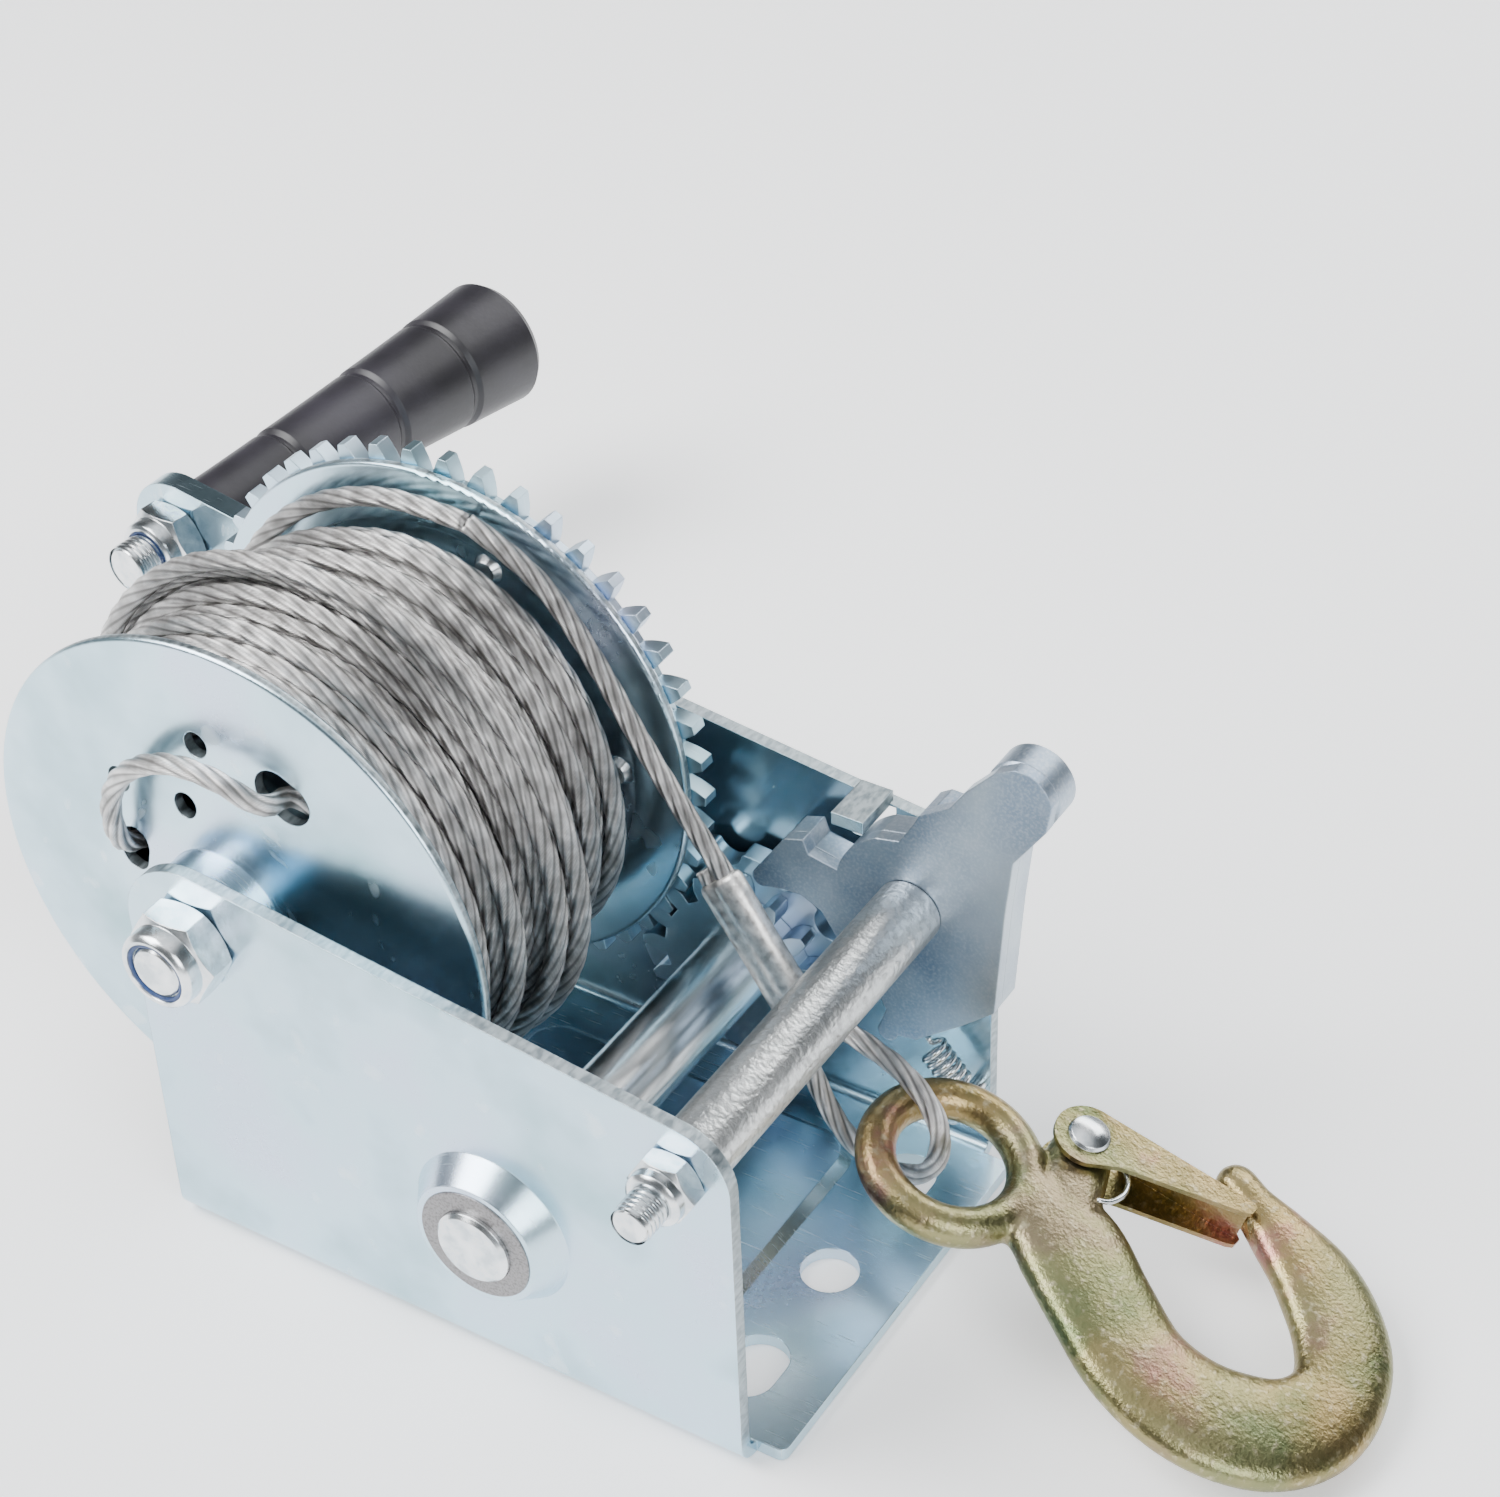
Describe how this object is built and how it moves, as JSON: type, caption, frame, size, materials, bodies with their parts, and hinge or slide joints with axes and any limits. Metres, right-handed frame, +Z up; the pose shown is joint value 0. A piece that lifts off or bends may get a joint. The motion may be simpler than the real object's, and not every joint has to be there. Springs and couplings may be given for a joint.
{
  "type": "hand winch",
  "caption": "Hand-cranked trailer winch: folded steel frame, geared drum wound with wire rope, reversible pawl, crank with turning grip, and a latched hook on the rope's end.",
  "frame": {"origin": "middle of the base plate's underside", "axes": "+Z up off the mounting surface, +X towards the hook end where the rope leaves, drum and shaft axes along Y with the crank on +Y"},
  "size_m": [0.3766, 0.2811, 0.1484],
  "materials": {
    "zinc_plate": "bright blue-clear zinc plate, smooth with fine scratches",
    "wire_rope": "stranded steel wire, dull grey with bright highlights",
    "aluminium_ferrule": "matt pressed aluminium",
    "black_grip": "smooth near-black plastic",
    "yellow_zinc": "iridescent yellow zinc passivate",
    "satin_steel": "satin blue-grey zinc on stamped steel",
    "sintered_bush": "dull warm grey sintered iron",
    "galvanised_tube": "streaky dull galvanised tube",
    "lock_nut": "bright zinc plate with a blue nylon ring",
    "rivet_steel": "plain bright steel",
    "spring_steel": "bright spring wire"
  },
  "bodies": {
    "frame": {"frame": "zinc_plate", "drum_axle_bolt": "zinc_plate", "drum_axle_nut": "lock_nut", "drum_axle_tube": "galvanised_tube", "shaft_bush_near": "sintered_bush", "shaft_bush_far": "sintered_bush", "tie_bolt": "zinc_plate", "tie_nut": "lock_nut", "tie_tube": "galvanised_tube", "pawl_spacer": "galvanised_tube", "pawl_spring": "spring_steel", "spring_pin": "zinc_plate", "rope_tail": "wire_rope", "rope_loop": "wire_rope", "rope_stub": "wire_rope", "rope_ferrule": "aluminium_ferrule"},
    "drum": {"drum_sleeve": "zinc_plate", "drum_hub": "zinc_plate", "near_flange": "zinc_plate", "far_flange": "zinc_plate", "drum_gear": "zinc_plate", "gear_rivets": "zinc_plate", "rope_wound": "wire_rope", "rope_anchor_loop": "wire_rope"},
    "crank": {"pinion_shaft": "zinc_plate", "pinion": "zinc_plate", "ratchet_wheel": "zinc_plate", "shaft_collar": "zinc_plate", "crank_arm": "zinc_plate", "crank_nut": "lock_nut", "grip_bolt": "zinc_plate", "grip_nut": "lock_nut", "grip_washer": "zinc_plate"},
    "grip": {"grip": "black_grip"},
    "pawl": {"pawl_plate": "satin_steel", "pawl_core": "satin_steel", "pawl_knob": "satin_steel"},
    "hook": {"hook": "yellow_zinc", "latch_rivet": "rivet_steel", "latch_spring": "spring_steel"},
    "latch": {"latch": "yellow_zinc"}
  },
  "joints": [
    {"name": "drum_spin", "type": "hinge", "parent": "frame", "child": "drum", "pos_m": [-0.056, 0, 0.084], "axis": [0, 1, 0], "continuous": true},
    {"name": "shaft_spin", "type": "hinge", "parent": "frame", "child": "crank", "pos_m": [0.01319, 0, 0.03907], "axis": [0, 1, 0], "continuous": true},
    {"name": "grip_spin", "type": "hinge", "parent": "crank", "child": "grip", "pos_m": [-0.1842, 0.09531, 0.0546], "axis": [0.1007, 0.9949, -0.0079], "continuous": true},
    {"name": "pawl_tilt", "type": "hinge", "parent": "frame", "child": "pawl", "pos_m": [0.0575, 0, 0.0742], "axis": [0, 1, 0], "range_deg": [-7.35, 21.35]},
    {"name": "hook_swing", "type": "hinge", "parent": "frame", "child": "hook", "pos_m": [0.066, 0.0118, 0.0404], "axis": [0, 1, 0], "range_deg": [-60, 0]},
    {"name": "latch_pivot", "type": "hinge", "parent": "hook", "child": "latch", "pos_m": [0.09984, 0.0329, 0.02934], "axis": [0.309, 0, 0.9511], "range_deg": [-25, 0], "stiffness_Nm_per_rad": 0.05, "springref_deg": 11.46}
  ],
  "couplings": [
    {"joint": "shaft_spin", "follows": "drum_spin", "ratio": -3}
  ]
}
